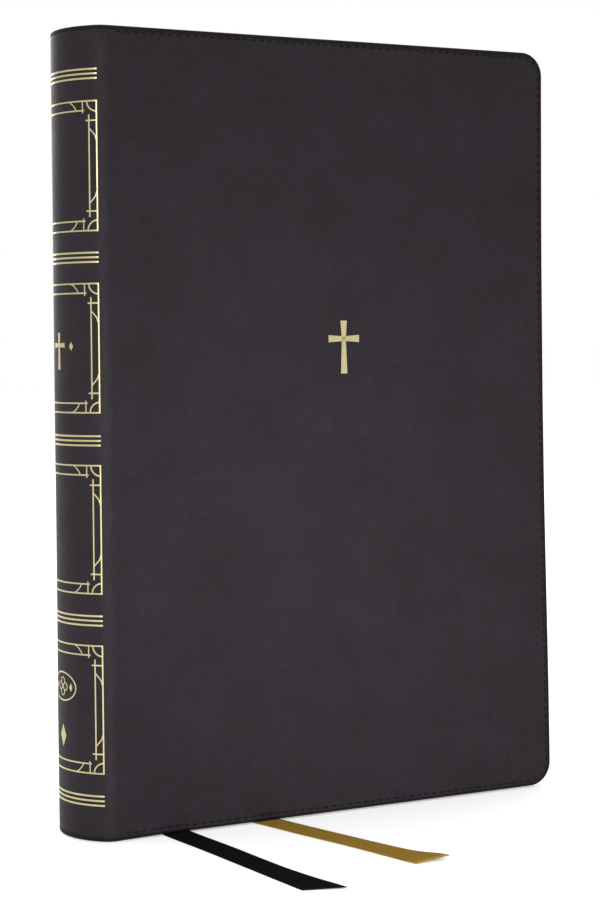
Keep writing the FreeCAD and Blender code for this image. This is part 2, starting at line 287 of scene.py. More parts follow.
def thread():
    """Twisted black thread."""
    paint = Paint("cover_thread", Roughness=0.6, Specular_IOR_Level=0.09)
    place = paint.place()
    twist = paint.node("TexWave", {"Vector": place, "Scale": 1.3, "Distortion": 1.0}).outputs[0]
    paint.colour(paint.blend(twist, (0.0024, 0.0018, 0.00234), (0.0040, 0.0030, 0.0039)))
    paint.bump((twist, 0.03))
    return paint.material


def foil():
    """Pale gold stamping foil with pinholes and slightly uneven gloss."""
    paint = Paint("gilt_foil", Metallic=1.0)
    place = paint.place()
    wear = paint.noise(place, 2.4, 4.0, 0.65)
    shade = paint.noise(place, 0.18, 2.0)
    gold = paint.blend(shade, (0.40, 0.345, 0.165), (0.56, 0.50, 0.30))
    paint.colour(paint.blend(paint.ramp(wear, 0.28, 0.40), (0.10, 0.08, 0.05), gold))
    paint.rough(paint.ramp(wear, 0.3, 0.7, 0.5, 0.3))
    paint.bump((wear, 0.01))
    return paint.material


def page_paper():
    """Thin cream bible paper, with two columns of grey bars in place of print."""
    paint = Paint("page_paper", Roughness=0.85, Specular_IOR_Level=0.25)
    place = paint.place()
    across, _, up = paint.split(place)
    line_pitch = 3.3
    line = paint.math("DIVIDE", up, line_pitch)
    row = paint.math("FLOOR", line)
    inked = paint.math("LESS_THAN", paint.math("FRACT", line), 0.42)
    beat = paint.node("CombineXYZ", {"X": across, "Y": paint.math("MULTIPLY", row, 7.3)}).outputs[0]
    words = paint.math("GREATER_THAN", paint.noise(beat, 0.55, 1.0), 0.43)
    columns = 0.0
    for start, end in ((-60.0, 0.0), (5.5, 65.0)):
        inside = paint.math("COMPARE", across, (start + end) / 2, (end - start) / 2)
        columns = paint.math("ADD", inside, columns)
    tall = paint.math("COMPARE", up, HEIGHT / 2, HEIGHT / 2 - 17)
    mask = 0.42
    for part in (inked, words, columns, tall):
        mask = paint.math("MULTIPLY", mask, part)
    fibre = paint.noise(place, 0.6, 4.0)
    sheet = paint.blend(fibre, (0.66, 0.62, 0.53), (0.73, 0.70, 0.61))
    paint.colour(paint.blend(mask, sheet, (0.13, 0.12, 0.12)))
    paint.bump((paint.noise(place, 3.0, 3.0), 0.008))
    return paint.material


def page_edges():
    """Burnished gilt on the cut edges, broken into fine lines by the leaves."""
    paint = Paint("gilt_edge", Metallic=0.85)
    leaves = paint.noise(paint.place((0.05, 16.0, 0.05)), 1.0, 3.0, 0.7)
    cloud = paint.noise(paint.place(), 0.07, 3.0)
    gold = paint.blend(cloud, (0.50, 0.35, 0.12), (0.66, 0.50, 0.21))
    paint.colour(paint.blend(paint.ramp(leaves, 0.3, 0.55), (0.26, 0.16, 0.05), gold))
    paint.rough(paint.ramp(leaves, 0.3, 0.7, 0.5, 0.32))
    paint.bump((leaves, 0.02))
    return paint.material


def endpaper():
    """Black endpaper with a faint felt texture."""
    paint = Paint("endpaper", Roughness=0.8, Specular_IOR_Level=0.3)
    felt = paint.noise(paint.place(), 1.8, 4.0, 0.65)
    paint.colour(paint.blend(felt, (0.018, 0.017, 0.019), (0.034, 0.032, 0.034)))
    paint.bump((felt, 0.02))
    return paint.material


def satin(name, dark, light):
    """Satin ribbon: warp threads along it, cross ribs of the weft, and a slow change of tone."""
    paint = Paint(name, Specular_IOR_Level=0.04)
    place = paint.place()
    across, along, _ = paint.split(place)
    warp = paint.math("SINE", paint.math("MULTIPLY", across, 2 * math.pi / 0.22))
    weft = paint.math("SINE", paint.math("MULTIPLY", along, 2 * math.pi / 0.42))
    slub = paint.noise(paint.place((3.0, 0.12, 1.0)), 1.0, 3.0)
    weave = paint.math("ADD", paint.math("MULTIPLY", warp, 0.35), paint.math("MULTIPLY", weft, 0.65))
    tone = paint.math("ADD", paint.math("MULTIPLY", weave, 0.18), slub)
    paint.colour(paint.blend(paint.ramp(tone, 0.2, 0.8), dark, light))
    paint.rough(paint.ramp(slub, 0.3, 0.7, 0.66, 0.54))
    paint.bump((weave, 0.016))
    return paint.material


def band_silk():
    """Black and gold silk wound over the headband's core, one colour then the other."""
    paint = Paint("headband_silk", Sheen_Weight=0.4, Roughness=0.5)
    turn = paint.split(paint.place())[0]
    stripe = paint.math("LESS_THAN", paint.math("FRACT", paint.math("DIVIDE", turn, 4.0)), 0.5)
    paint.colour(paint.blend(stripe, (0.36, 0.22, 0.05), (0.012, 0.011, 0.012)))
    paint.bump((paint.noise(paint.place((1.0, 8.0, 1.0)), 1.0), 0.03))
    return paint.material


def rigid(name, dark, light, scale, depth):
    """Paper, board or thread of a CAD piece that stays as it is."""
    paint = Paint(name, Roughness=0.8, Specular_IOR_Level=0.3)
    grain = paint.noise(paint.solid_place(), scale, 4.0, 0.6)
    paint.colour(paint.blend(grain, dark, light))
    paint.bump((grain, depth))
    return paint.material


def mull_cloth():
    """Open starched cotton: two crossed sets of threads."""
    paint = Paint("mull_cloth", Roughness=0.85)
    _, across, up = paint.split(paint.solid_place())
    crossed = [
        paint.math("ABSOLUTE", paint.math("SINE", paint.math("MULTIPLY", way, math.pi / 0.8)))
        for way in (across, up)
    ]
    weave = paint.math("MINIMUM", *crossed)
    paint.colour(paint.blend(weave, (0.80, 0.77, 0.68), (0.42, 0.39, 0.32)))
    paint.bump((weave, 0.1))
    return paint.material


LEATHER = leather()
COVER_THREAD = thread()
FOIL = foil()
PAGES = page_paper()
GILT = page_edges()
ENDPAPER = endpaper()
BLACK_SATIN = satin("black_satin", (0.002, 0.002, 0.002), (0.006, 0.006, 0.006))
GOLD_SATIN = satin("gold_satin", (0.15, 0.085, 0.011), (0.34, 0.215, 0.036))
BAND_SILK = band_silk()


# Mesh helpers


def make_piece(name, points, places, faces, materials, picks=None, smooth=True):
    """Object from points in millimetres.

    places is where each point was when the surface was laid out, and picks is each face's material.
    """
    mesh = bpy.data.meshes.new(name)
    mesh.from_pydata([Vector(p) * MM for p in points], [], faces)
    for material in materials:
        mesh.materials.append(material)
    laid = mesh.attributes.new("place", "FLOAT_VECTOR", "POINT")
    laid.data.foreach_set("vector", [c for p in places for c in p])
    mesh.polygons.foreach_set("use_smooth", [smooth] * len(faces))
    if picks:
        mesh.polygons.foreach_set("material_index", picks)
    work = bmesh.new()
    work.from_mesh(mesh)
    bmesh.ops.recalc_face_normals(work, faces=work.faces)
    work.to_mesh(mesh)
    work.free()
    piece = bpy.data.objects.new(name, mesh)
    bpy.context.scene.collection.objects.link(piece)
    return piece


class Batch:
    """Many small closed shapes gathered into one mesh."""

    def __init__(self):
        self.points = []
        self.places = []
        self.faces = []

    def add(self, points, places, faces):
        base = len(self.points)
        self.points += points
        self.places += places
        self.faces += [[base + i for i in face] for face in faces]

    def tube(self, rings, places):
        """Closed tube through rings of points, with both ends filled."""
        size = len(rings[0])
        faces = []
        for k in range(len(rings) - 1):
            for i in range(size):
                j = (i + 1) % size
                faces.append([k * size + i, k * size + j, (k + 1) * size + j, (k + 1) * size + i])
        faces.append(list(range(size)))
        faces.append([(len(rings) - 1) * size + i for i in reversed(range(size))])
        self.add([p for ring in rings for p in ring], [p for ring in places for p in ring], faces)

    def piece(self, name, material, smooth=True):
        return make_piece(name, self.points, self.places, self.faces, [material], smooth=smooth)


def spread(start, end, step):
    """Evenly spaced values from start to end, at most step apart."""
    count = max(1, math.ceil(abs(end - start) / step - 1e-6))
    return [start + (end - start) * k / count for k in range(count + 1)]


def smooth_step(value, low, high):
    """0 below low, 1 above high, and smooth between."""
    t = min(1.0, max(0.0, (value - low) / (high - low)))
    return t * t * (3 - 2 * t)


def shell(name, columns, rows, levels, point, materials, picks=(0, 0, 0), open_left=False):
    """Closed skin: a grid at the first level, rings round its rim at each next level, a grid at the last.

    point(level, i, j) gives a point and its laid-out place. picks are the materials of the first grid,
    the rings and the last grid. With open_left the rings leave out the first column, and a cap closes it.
    """
    last_column = columns - 1
    last_row = rows - 1
    rim = [(i, 0) for i in range(columns)]
    rim += [(last_column, j) for j in range(1, rows)]
    rim += [(i, last_row) for i in range(last_column - 1, -1, -1)]
    if not open_left:
        rim += [(0, j) for j in range(last_row - 1, 0, -1)]
    index, points, places, faces, picked = {}, [], [], [], []

    def vertex(level, i, j):
        key = (level, i, j)
        if key not in index:
            made, laid = point(levels[level], i, j)
            index[key] = len(points)
            points.append(made)
            places.append(laid)
        return index[key]

    for level, pick in ((0, picks[0]), (len(levels) - 1, picks[2])):
        for i in range(last_column):
            for j in range(last_row):
                square = ((i, j), (i + 1, j), (i + 1, j + 1), (i, j + 1))
                faces.append([vertex(level, *corner) for corner in square])
        picked += [pick] * (len(faces) - len(picked))
    steps = list(zip(rim, rim[1:])) if open_left else list(zip(rim, rim[1:] + rim[:1]))
    for level in range(len(levels) - 1):
        for here, there in steps:
            outer = [vertex(level, *here), vertex(level, *there)]
            faces.append(outer + [vertex(level + 1, *there), vertex(level + 1, *here)])
    if open_left:
        depth = range(len(levels))
        loop = [vertex(0, 0, j) for j in range(rows)]
        loop += [vertex(level, 0, last_row) for level in depth[1:]]
        loop += [vertex(len(levels) - 1, 0, j) for j in range(last_row - 1, -1, -1)]
        loop += [vertex(level, 0, 0) for level in reversed(depth[1:-1])]
        faces.append(loop)
    picked += [picks[1]] * (len(faces) - len(picked))
    return make_piece(name, points, places, faces, materials, picked)


def finish_piece(piece, body, slot, *nodes):
    """Ride a rigid piece on its body and hide the nodes that it stands for; the slot is not used."""
    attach(piece, body)
    if nodes:
        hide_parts(*nodes)


def bend_piece(piece, body, ends, slot, *nodes):
    """Bake a piece's placement into its mesh and hide the nodes that it stands for; the body, the two points
    and the slot are not used.
    """
    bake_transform(piece)
    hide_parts(*nodes)


# Cover surface


def profile(s):
    """Point and inward direction of the cover's outer face, s round it from the spine's middle."""
    side = -1 if s >= 0 else 1
    s = abs(s)
    if s < SPINE_ARC:
        turn = s / SPINE_RADIUS
        x = SPINE_CENTRE_X - SPINE_RADIUS * math.cos(turn)
        y = SPINE_RADIUS * math.sin(turn)
    elif s < FLAT_FROM:
        turn = SPINE_TURN + (s - SPINE_ARC) / SHOULDER_RADIUS
        x = SHOULDER_X - SHOULDER_RADIUS * math.cos(turn)
        y = -SHOULDER_Y + SHOULDER_RADIUS * math.sin(turn)
    else:
        turn = math.pi / 2
        x = SHOULDER_X + s - FLAT_FROM
        y = -FRONT_Y
    return x, side * y, math.cos(turn), -side * math.sin(turn)


def relief(s, z):
    """How far the leather lies in from its ideal face: a slow unevenness, and puckers at head and tail."""
    broad = 0.09 * noise.noise(Vector((s / 24, z / 30, 3.7)))
    end = min(z, HEIGHT - z)
    near_hinge = smooth_step(abs(s), 10, 14) * (1 - smooth_step(abs(s), 19, 26))
    pucker = 0.09 * math.exp(-end / 3.0) * near_hinge * math.sin(s * 2 * math.pi / 1.7 + z * 0.4)
    return broad + pucker


def fore_edge_bow(z):
    """How far the soft fore-edge bows out past the flat outline, more at the tail than at the head."""
    middle = HEIGHT * 0.56
    head = BOW_HEAD * max(0.0, (z - middle) / (HEIGHT - middle)) ** 2
    return head + BOW_TAIL * smooth_step(middle - z, 0, middle)


def bowed(x, z):
    """A place on a cover's flat part, moved with the bow of its fore-edge."""
    return x + fore_edge_bow(z) * smooth_step(x, SHOULDER_X, FORE_EDGE_X)


def on_cover(s, z, depth, back=False):
    """Point at a depth below the leather's outer face. Depths below 0 stand proud."""
    x, y, inward_x, inward_y = profile(s)
    depth += relief(s, z)
    point = (bowed(x + inward_x * depth, z), y + inward_y * depth, z)
    if back:
        return point[0], -point[1], point[2]
    return point


def cover_thickness(s):
    """Thickness of the turned-in edge: skin, board or inlay, and turn-in."""
    s = abs(s)
    to_hinge = smooth_step(s, SPINE_ARC - 3.0, HINGE_S)
    to_flat = smooth_step(s, HINGE_S + 1.0, FLAT_FROM + 1.5)
    hinge = SPINE_THICKNESS + (HINGE_THICKNESS - SPINE_THICKNESS) * to_hinge
    return hinge + (FLAT_THICKNESS - hinge) * to_flat


def cover_bottom(s, back):
    """Height of the tail edge: the front cover stands a little higher, to let the ribbons pass."""
    if back:
        return 0.0
    return FRONT_LIFT * smooth_step(s, HINGE_S, FLAT_FROM + 20)


def cover_levels():
    """Inset from the edge and depth of each level, from the outer face round to the inner face.

    A depth is (millimetres, share of the cover's thickness).
    """
    levels = [(FACE_INSET, (0.0, 0)), (2.7, (0.0, 0))]
    levels += [(STITCH_INSET + aside, (sunk, 0)) for aside, sunk in STITCH_GROOVE]
    levels.append((OUTER_ROUNDING + 0.2, (0.0, 0)))
    quarter = [math.radians(a) for a in (0, 20, 40, 60, 80)]
    levels += [(OUTER_ROUNDING * (1 - math.sin(a)), (OUTER_ROUNDING * (1 - math.cos(a)), 0)) for a in quarter]
    levels.append((0.0, (OUTER_ROUNDING, 0)))
    levels += [(INNER_ROUNDING * (1 - math.cos(a)), (INNER_ROUNDING * (math.sin(a) - 1), 1)) for a in quarter]
    levels.append((INNER_ROUNDING, (0.0, 1)))
    levels += [(1.5, (0.0, 1)), (1.8, (-0.08, 1)), (2.1, (0.0, 1)), (TURN_IN_WIDTH * 0.6, (0.0, 1))]
    levels += [(TURN_IN_WIDTH - 0.15, (0.0, 1)), (TURN_IN_WIDTH, (-TURN_IN / 2, 1))]
    levels += [(TURN_IN_WIDTH - 0.1, (-TURN_IN, 1)), (SKIN, (-TURN_IN, 1))]
    levels += [(SKIN, (SKIN, 0)), (FACE_INSET, (SKIN, 0))]
    return levels


def cover_columns(start):
    """Columns of the cover's grid: places along the profile, then steps round the fore-edge corner."""
    columns = [start + extra for extra in (0.0, 0.1, 0.25, 0.45, 0.7)]
    columns += spread(columns[-1], SPINE_ARC, 0.8)[1:] if columns[-1] < SPINE_ARC - 1 else []
    columns += [s for s in spread(SPINE_ARC, FLAT_FROM, 0.3)[1:] if s > columns[-1] + 0.1]
    columns += spread(FLAT_FROM, FLAT_FROM + 6, 1.0)[1:]
    flat = spread(FLAT_FROM + 6, FLAT_TO - COVER_CORNER, 3.2)[1:]
    return columns, flat


def cover_leather(name, start, back):
    """Leather of one cover from its seam to the fore-edge, as a closed skin with turned-in edges."""
    fixed, flat = cover_columns(start)
    corner_steps = 12
    columns = len(fixed) + len(flat) + corner_steps
    rows = 62
    flat_start = fixed[-1]

    def outline(inset, i):
        """Place along the profile and heights of the two ends of column i, at that inset."""
        radius = max(COVER_CORNER - inset, 1.0)
        straight_end = FLAT_TO - inset - radius
        turn = 0.0
        if i < len(fixed):
            s = fixed[i]
        elif i < len(fixed) + len(flat):
            share = (flat[i - len(fixed)] - flat_start) / (FLAT_TO - COVER_CORNER - flat_start)
            s = flat_start + share * (straight_end - flat_start)
        else:
            turn = (i - len(fixed) - len(flat) + 1) / corner_steps * math.pi / 2
            s = straight_end + radius * math.sin(turn)
        rise = inset + radius * (1 - math.cos(turn))
        return s, cover_bottom(s, back) + rise, HEIGHT - rise

    def point(level, i, j):
        inset, (depth, share) = level
        s, low, high = outline(inset, i)
        z = low + (high - low) * j / (rows - 1)
        depth += share * cover_thickness(s)
        return on_cover(s, z, depth, back), (s, z, depth)

    return shell(name, columns, rows, cover_levels(), point, [LEATHER], open_left=True)


def hinge_ends(back):
    """Where the leather starts and ends its bend between the spine and a cover, in metres."""
    side = 1 if back else -1
    x = SHOULDER_X - SHOULDER_RADIUS * math.cos(HINGE_TURN)
    y = -SHOULDER_Y + SHOULDER_RADIUS * math.sin(HINGE_TURN)
    start = Vector((x, side * y, HEIGHT / 2))
    along = Vector((math.sin(HINGE_TURN), side * math.cos(HINGE_TURN), 0))
    return start * MM, (start + along * HINGE_BEND) * MM


def build_leather():
    front = cover_leather("cover_leather_front", -SPINE_ARC, False)
    back = cover_leather("cover_leather_back", SPINE_ARC, True)
    bend_piece(front, "front_cover", hinge_ends(False), "cover_leather", "front_cover_skin", "spine_skin")
    bend_piece(back, "back_cover", hinge_ends(True), "cover_leather", "back_cover_skin")


# Stitching


def stitch_path(back):
    """Ends of each stitch as (s, z) pairs on the cover: tail edge, fore-edge, then head edge."""
    radius = COVER_CORNER - STITCH_INSET
    start = FLAT_FROM + BOARD_X - SHOULDER_X + 1.0
    end = FLAT_TO - STITCH_INSET - radius
    low = (0.0 if back else FRONT_LIFT) + STITCH_INSET
    high = HEIGHT - STITCH_INSET
    bend = radius * math.pi / 2
    total = 2 * (end - start + bend) + high - low - 2 * radius

    def at(t):
        if t > total / 2:
            s, z = at(total - t)
            return s, low + high - z
        if t < end - start:
            return start + t, low
        t -= end - start
        if t < bend:
            return end + radius * math.sin(t / radius), low + radius * (1 - math.cos(t / radius))
        return end + radius, low + radius + t - bend

    count = round(total / STITCH_PITCH)
    return [(at((k + 0.14) * total / count), at((k + 0.82) * total / count)) for k in range(count)]


def add_stitch(batch, start, end, depth, sink, back):
    """One stitch: a fat thread that dips into the leather at both ends."""
    first, last = Vector(start), Vector(end)
    across = Vector((-(last - first).y, (last - first).x)).normalized()
    rings, places = [], []
    for t in (0.0, 0.07, 0.2, 0.5, 0.8, 0.93, 1.0):
        middle = first.lerp(last, t)
        plump = max(0.25, math.sin(math.pi * t) ** 0.35)
        dip = sink * (1 - math.sin(math.pi * t)) ** 2
        ring, laid = [], []
        for k in range(8):
            a = 2 * math.pi * k / 8
            offset = across * STITCH_RADIUS * plump * math.cos(a)
            proud = STITCH_RADIUS * 0.75 * plump * math.sin(a)
            s, z = middle + offset
            ring.append(on_cover(s, z, depth + dip - proud, back))
            laid.append((s, z, depth))
        rings.append(ring)
        places.append(laid)
    batch.tube(rings, places)


def build_stitching():
    for side, back in (("front", False), ("back", True)):
        batch = Batch()
        for start, end in stitch_path(back):
            add_stitch(batch, start, end, 0.06, 0.25, back)
            add_stitch(batch, start, end, FLAT_THICKNESS - 0.02, -0.25, back)
        piece = batch.piece(side + "_stitches", COVER_THREAD)
        finish_piece(piece, side + "_cover", "cover_thread", side + "_cover_stitching")


# Gold foil


FOIL_PROUD = 0.035
FOIL_SUNK = 0.03
FOIL_LINE = 0.5
RULE = 0.6
FOIL_EDGE = 0.05
FOIL_LANE = 0.8


class Section(list):
    """Ring of points round a strip of foil, with its direction and half width for the next run."""

    def __init__(self, middle, across, half, lanes):
        super().__init__()
        self.across = across
        self.half = half
        self.lanes = lanes
        self.places = []
        bevel = min(FOIL_EDGE, half * 0.4)
        tops = [bevel - half + 2 * (half - bevel) * k / lanes for k in range(lanes + 1)]
        for reach in (-half, *tops, half):
            s, z = middle + across * reach
            self.append(on_cover(s, z, FOIL_SUNK if abs(reach) == half else -FOIL_PROUD))
            self.places.append((s, z, 0))


class Foil(Batch):
    """Strokes of foil laid on the cover."""

    def stroke(self, path, width, end_width=None, step=0.7):
        """Strip along a path of (s, z) points, from one width to another, with mitred corners."""
        end_width = end_width or width
        lanes = max(1, math.ceil(max(width, end_width) / FOIL_LANE))
        path = [Vector(p) for p in path]
        total = sum((b - a).length for a, b in zip(path, path[1:]))
        closed = (path[0] - path[-1]).length < 1e-6
        rings = []
        done = 0.0
        for k, here in enumerate(path):
            before = path[k - 1] if k else (path[-2] if closed else None)
            after = path[k + 1] if k < len(path) - 1 else (path[1] if closed else None)
            ahead = (after - here).normalized() if after is not None else (here - before).normalized()
            behind = (here - before).normalized() if before is not None else ahead
            across = Vector((-(ahead + behind).y, (ahead + behind).x)).normalized()
            mitre = 1 / max(0.35, across.dot(Vector((-ahead.y, ahead.x))))
            run = (here - path[k - 1]).length if k else 0.0
            done += run
            half = (width + (end_width - width) * done / total) / 2 * mitre
            if run > step:
                self.fill_between(rings, path[k - 1], here, step, across, half)
            rings.append(Section(here, across, half, lanes))
        self.tube(rings, [ring.places for ring in rings])

    def fill_between(self, rings, start, end, step, across, half):
        """Extra sections on a long run, so that it follows the curve of the spine."""
        square = Vector((-(end - start).y, (end - start).x)).normalized()
        first = rings[-1].half * rings[-1].across.dot(square)
        last = half * across.dot(square)
        for t in spread(0, 1, step / (end - start).length)[1:-1]:
            rings.append(Section(start.lerp(end, t), square, first + (last - first) * t, rings[-1].lanes))

    def finish(self, name, body="root"):
        """Make the strokes one piece of gold foil that rides on a body."""
        finish_piece(self.piece(name, FOIL, smooth=False), body, "gilt_foil")

    def mirrored(self, strokes, half_s, low, high):
        """The same corner strokes at the four corners of a panel."""
        for strip, width in strokes:
            for side in (-1, 1):
                for upper in (True, False):
                    corner = [(side * (half_s - a), high - b if upper else low + b) for a, b in strip]
                    self.stroke(corner, width)


def arc_path(centre, radius, start, end, steps=10):
    """Arc of (s, z) points, angles in degrees."""
    angles = [math.radians(start + (end - start) * k / steps) for k in range(steps + 1)]
    return [(centre[0] + radius * math.cos(a), centre[1] + radius * math.sin(a)) for a in angles]


def latin_cross(foil_sheet, s, z, height, width, bar):
    """Plain cross with slightly flared arms, z at its middle."""
    top, bottom = z + height / 2, z - height / 2
    crossing = top - height * 0.34
    flare = 1.55
    for tip in ((s, top), (s, bottom), (s - width / 2, crossing), (s + width / 2, crossing)):
        foil_sheet.stroke([(s, crossing), tip], bar, bar * flare)


def lozenge(foil_sheet, s, z, half_s, half_z):
    """Small filled lozenge."""
    foil_sheet.stroke([(s, z - half_z), (s, z)], 0.08, half_s * 2, step=0.4)
    foil_sheet.stroke([(s, z), (s, z + half_z)], half_s * 2, 0.08, step=0.4)


BAND_TOPS = (228.3, 174.2, 120.1, 67.0, 13.8)
RULE_PITCH = 1.37
BAND_REACH = HINGE_S - 0.05
PANELS = ((180.4, 218.6), (126.7, 164.8), (73.3, 111.1), (20.2, 57.9))
PANEL_REACH = 16.6
INNER_ACROSS = 2.4
INNER_DOWN = 2.8
TITLE_Z = 144.95
ROSETTE_Z = 44.85
LOZENGE_Z = 30.2
FRONT_CROSS_X = 6.6
FRONT_CROSS_Z = 145.2


def build_spine_foil():
    """Five bands of three rules, and four framed panels with corner ornaments."""
    bands = Foil()
    for top in BAND_TOPS:
        for k in range(3):
            z = top - RULE / 2 - k * RULE_PITCH
            bands.stroke([(-BAND_REACH, z), (BAND_REACH, z)], RULE)
    bands.finish("spine_bands")

    corner = [
        (arc_path((0, 0), 3.05, 0, 90), FOIL_LINE),
        ([(4.5, 0.2), (4.5, 3.6)], 0.42),
        ([(9.5, 0.1), (8.4, 0.7), (7.3, 1.8), (6.8, INNER_DOWN)], 0.42),
        ([(0.2, 5.75), (3.45, 5.75)], FOIL_LINE),
        ([(INNER_ACROSS, 8.0), (1.2, 9.3), (0.5, 10.2), (0.1, 11.5)], 0.45),
    ]
    for number, (low, high) in enumerate(PANELS, 1):
        panel = Foil()
        frame_corners = [(-PANEL_REACH, low), (PANEL_REACH, low), (PANEL_REACH, high), (-PANEL_REACH, high)]
        panel.stroke(frame_corners + frame_corners[:1], FOIL_LINE)
        inner = PANEL_REACH - INNER_ACROSS
        for side in (-1, 1):
            panel.stroke([(side * inner, low + 4.0), (side * inner, high - 4.0)], FOIL_LINE)
        for z in (low + INNER_DOWN, high - INNER_DOWN):
            panel.stroke([(-PANEL_REACH + 3.85, z), (PANEL_REACH - 3.85, z)], FOIL_LINE)
        panel.mirrored(corner, PANEL_REACH, low, high)
        panel.finish("spine_panel_%d" % number)


def build_emblems():
    """Crosses on the spine and front cover, and an oval rosette and a lozenge at the foot of the spine."""
    title = Foil()
    latin_cross(title, 0.0, TITLE_Z, 11.0, 7.0, 1.0)
    for side in (-1, 1):
        lozenge(title, side * 6.6, TITLE_Z + 1.4, 0.9, 1.3)
    title.finish("spine_cross")

    rosette = Foil()
    oval = [(7.0 * s, ROSETTE_Z + 4.2 * z) for s, z in arc_path((0, 0), 1.0, 0, 360, 48)]
    rosette.stroke(oval, 0.5)
    for lobe in arc_path((0, ROSETTE_Z), 1.55, 0, 270, 3):
        rosette.stroke(arc_path(lobe, 1.15, 0, 360, 20), 0.38)
    for side in (-1, 1):
        lozenge(rosette, side * 4.7, ROSETTE_Z, 0.8, 1.3)
    lozenge(rosette, 0.0, LOZENGE_Z, 1.9, 3.3)
    rosette.finish("spine_rosette")

    front = Foil()
    latin_cross(front, FLAT_FROM + FRONT_CROSS_X - SHOULDER_X, FRONT_CROSS_Z, 16.5, 11.0, 1.5)
    front.finish("front_cross", "front_cover")


# Text block


def fold_x(y):
    """Where the folds lie on the slightly rounded back of the text block."""
    return BACK_CENTRE_X - math.sqrt(BACK_RADIUS**2 - y**2)


def sheet_columns(start, end):
    """Places across a sheet: close together where it bends, wider on the flat part."""
    columns = [start, start + 0.15, start + 0.4]
    columns += spread(start + 0.4, start + 30, 1.5)[1:]
    columns += spread(start + 30, end - PAGE_CORNER, 8)[1:]
    return columns


def closing(x, z):
    """How far a middle signature swells to meet the other one, clear of the ribbons between them."""
    down = (HEIGHT - PAGE_BOTTOM - z) / (HEIGHT - 2 * PAGE_BOTTOM)
    ribbon_x = SPINE_X + RIBBON_WIDTH + 6 + down * (GOLD_ROUTE[0][0] - SPINE_X)
    return (MIDDLE_GAP - LEAF_GAP) * smooth_step(x - ribbon_x, 0, 12)


def flat_sheet(name, across, upright, centre_y, thickness, materials, layers=3, swell=0):
    """Closed sheet or stack of leaves, rounded at the fold and at its two outer corners.

    The last material is the one of its cut edges. swell is 1 or -1 where the face on that side of Y
    closes the gap at the middle of the book.
    """
    start, end = across
    low, high = upright
    columns = sheet_columns(start, end)
    corner_steps = 8
    rows = 34
    soft = min(0.09, thickness * 0.3)
    levels = [(soft, 0.0)] + [(0.0, soft + (thickness - 2 * soft) * k / layers) for k in range(layers + 1)]
    levels.append((soft, thickness))

    def point(level, i, j):
        inset, depth = level
        radius = PAGE_CORNER - inset
        turn = 0.0
        if i < len(columns):
            x = min(max(columns[i], start + inset), end - inset - radius)
        else:
            turn = (i - len(columns) + 1) / corner_steps * math.pi / 2
            x = end - inset - radius + radius * math.sin(turn)
        rise = inset + radius * (1 - math.cos(turn)) if turn else inset
        z = low + rise + (high - low - 2 * rise) * j / (rows - 1)
        fold = math.sqrt(min(1.0, max(0.0, (x - start) / 0.4)))
        squeeze = 0.25 + 0.75 * fold
        y = centre_y + (depth - thickness / 2) * squeeze
        share = depth / thickness if swell > 0 else 1 - depth / thickness
        y += swell * share * closing(x, z)
        return (x, y, z), (x, y, z)

    picks = (0, len(materials) - 1, 0)
    return shell(name, len(columns) + corner_steps, rows, levels, point, materials, picks)


def build_signatures():
    """Twenty-four folded signatures, each a stack of thin leaves that starts at the rounded back."""
    for number in range(1, 2 * SIGNATURES_PER_SIDE + 1):
        side = -1 if number <= SIGNATURES_PER_SIDE else 1
        rank = abs(number - SIGNATURES_PER_SIDE - 0.5) - 0.5
        y = side * (MIDDLE_GAP + PITCH * (rank + 0.5))
        start = fold_x(y)
        name = "signature_%02d" % number
        piece = flat_sheet(
            "leaves_%02d" % number,
            (start, start + PAGE_WIDTH),
            (PAGE_BOTTOM, HEIGHT - PAGE_BOTTOM),
            y,
            PITCH - LEAF_GAP,
            [PAGES, GILT],
            swell=-side if rank == 0 else 0,
        )
        bend = [Vector((x, y, HEIGHT / 2)) * MM for x in (start, start + LEAF_BEND)]
        bend_piece(piece, name, bend, "page_paper", name)


def build_flyleaves():
    """Loose half of each endpaper."""
    for side in ("front", "back"):
        low, high = box(side + "_flyleaf")
        y = (low.y + high.y) / 2
        across = (low.x + FLYLEAF / 2, high.x)
        upright = (low.z, high.z)
        piece = flat_sheet(side + "_flyleaf_sheet", across, upright, y, FLYLEAF, [ENDPAPER], layers=1)
        bend = [Vector((low.x + reach, y, HEIGHT / 2)) * MM for reach in (0.0, FLYLEAF_BEND)]
        bend_piece(piece, side + "_flyleaf", bend, "endpaper", side + "_flyleaf")


def build_pastedowns():
    """Glued half of each endpaper, with the strip that crosses the joint to the flyleaf's fold."""
    for side, back in (("front", False), ("back", True)):
        low, high = box(side + "_pastedown")
        fly_low, fly_high = box(side + "_flyleaf")
        away = 1 if back else -1
        board_y = (low.y + high.y) / 2
        thickness = high.y - low.y
        fold = Vector((fly_low.x, (fly_low.y + fly_high.y) / 2 + away * 0.12))
        route = [fold, Vector((fold.x - 0.25, fold.y + away * 0.2)), Vector((fold.x + 0.3, board_y))]
        route += [Vector((x, board_y)) for x in spread(fold.x + 0.9, low.x + 4, 0.5)]
        route += [Vector((x, board_y)) for x in spread(low.x + 4, high.x, 8)[1:]]
        rows = 30

        def point(level, i, j):
            inset, depth = level
            here = route[i]
            along = (route[min(i + 1, len(route) - 1)] - route[max(i - 1, 0)]).normalized()
            across = Vector((-along.y, along.x))
            x, y = here + across * (depth - thickness / 2)
            if i == len(route) - 1:
                x -= inset
            z = low.z + inset + (high.z - low.z - 2 * inset) * j / (rows - 1)
            return (bowed(x, z), y, z), (x, y, z)

        levels = [(0.06, 0.0), (0.0, 0.06), (0.0, thickness - 0.06), (0.06, thickness)]
        piece = shell(side + "_pastedown_sheet", len(route), rows, levels, point, [ENDPAPER])
        bend_piece(piece, side + "_cover", hinge_ends(back), "endpaper", side + "_pastedown")


